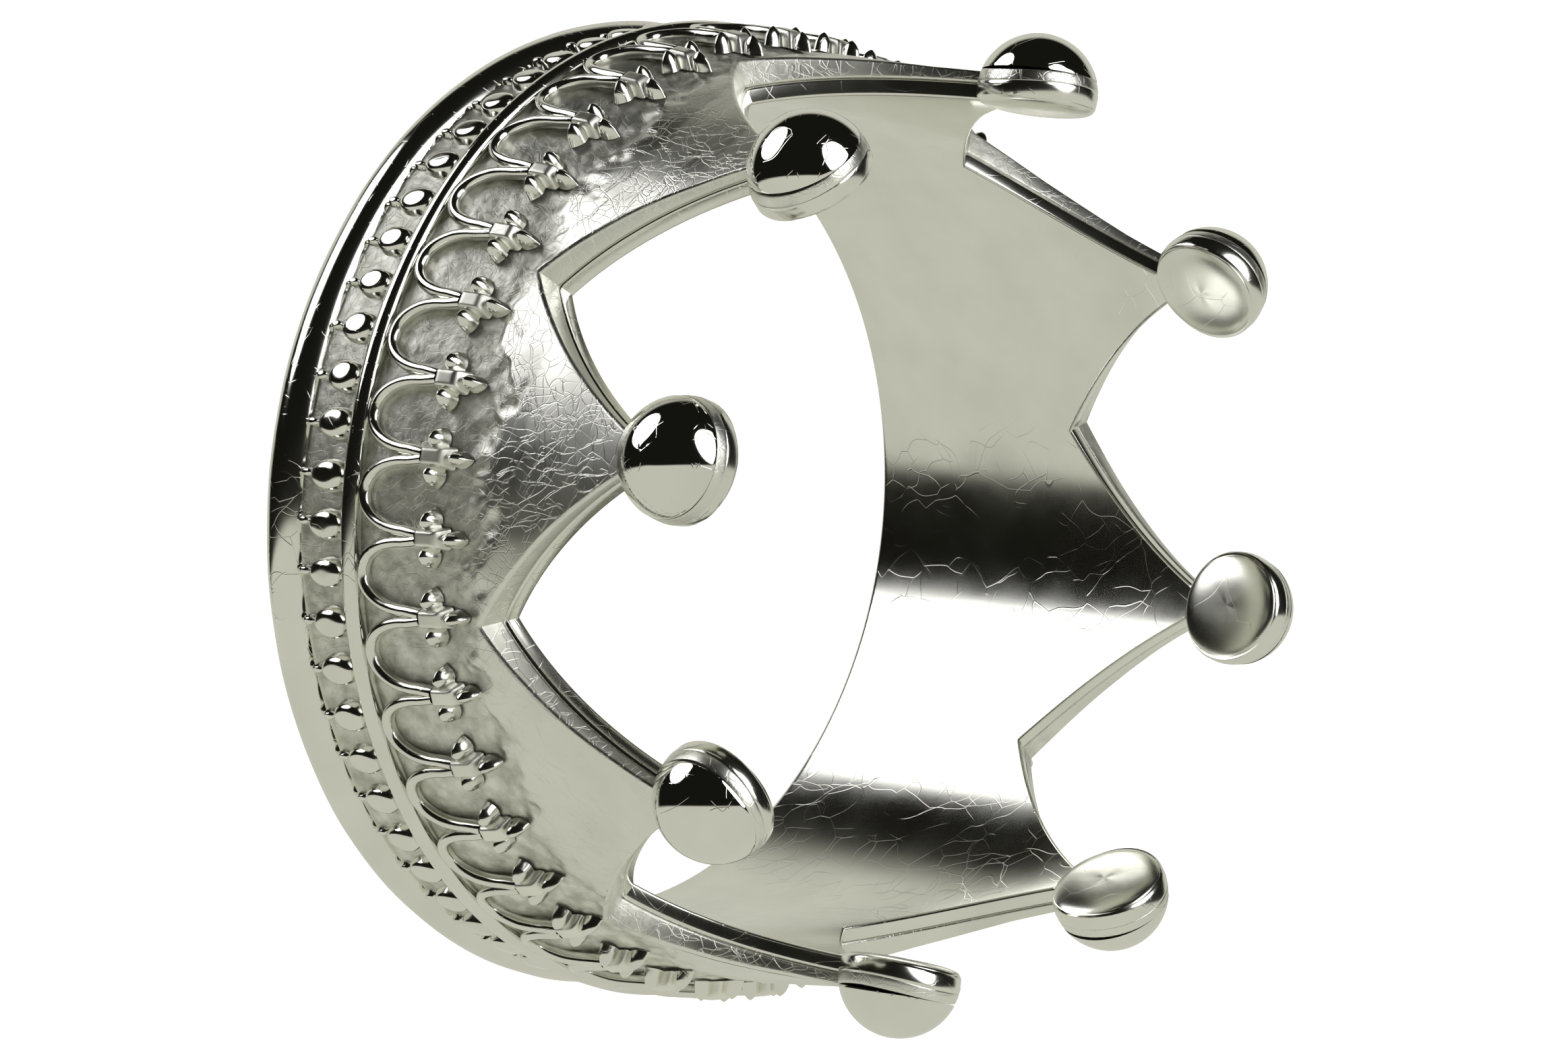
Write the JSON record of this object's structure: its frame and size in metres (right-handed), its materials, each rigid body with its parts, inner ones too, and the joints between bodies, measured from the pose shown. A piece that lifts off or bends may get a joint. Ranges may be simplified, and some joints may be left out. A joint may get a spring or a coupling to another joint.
{
  "type": "crown ring",
  "caption": "Polished silver finger ring shaped as a crown: plain finger hole, rim and divider wires, pellet row, arcade with fleurons, and tall points ending in ball finials.",
  "frame": {"origin": "centre of the finger hole, in the plane of the base that the ring stands on", "axes": "+Z along the finger hole, from the base to the points; +X close to the middle of the first point"},
  "size_m": [0.0204, 0.0204, 0.0112],
  "materials": {
    "liner_silver": "mirror-polished sterling silver with fine wear scratches",
    "band_silver": "polished sterling silver with hairline scratches, rough as cast in the recesses",
    "wire_silver": "polished sterling silver wire",
    "ornament_silver": "polished sterling silver, softly cast relief",
    "finial_silver": "mirror-polished sterling silver"
  },
  "bodies": {
    "root": {"inner_liner": "liner_silver", "outer_band": "band_silver", "base_rim_wire": "wire_silver", "divider_wire": "wire_silver", "pellets": "ornament_silver", "granules": "ornament_silver", "arcade_arches": "ornament_silver", "fleuron_bosses": "ornament_silver", "fleuron_side_petals": "ornament_silver", "fleuron_tip_petals": "ornament_silver", "finial_dome_1": "finial_silver", "finial_back_1": "finial_silver", "finial_dome_2": "finial_silver", "finial_back_2": "finial_silver", "finial_dome_3": "finial_silver", "finial_back_3": "finial_silver", "finial_dome_4": "finial_silver", "finial_back_4": "finial_silver", "finial_dome_5": "finial_silver", "finial_back_5": "finial_silver", "finial_dome_6": "finial_silver", "finial_back_6": "finial_silver", "finial_dome_7": "finial_silver", "finial_back_7": "finial_silver", "finial_dome_8": "finial_silver", "finial_back_8": "finial_silver"}
  },
  "joints": []
}
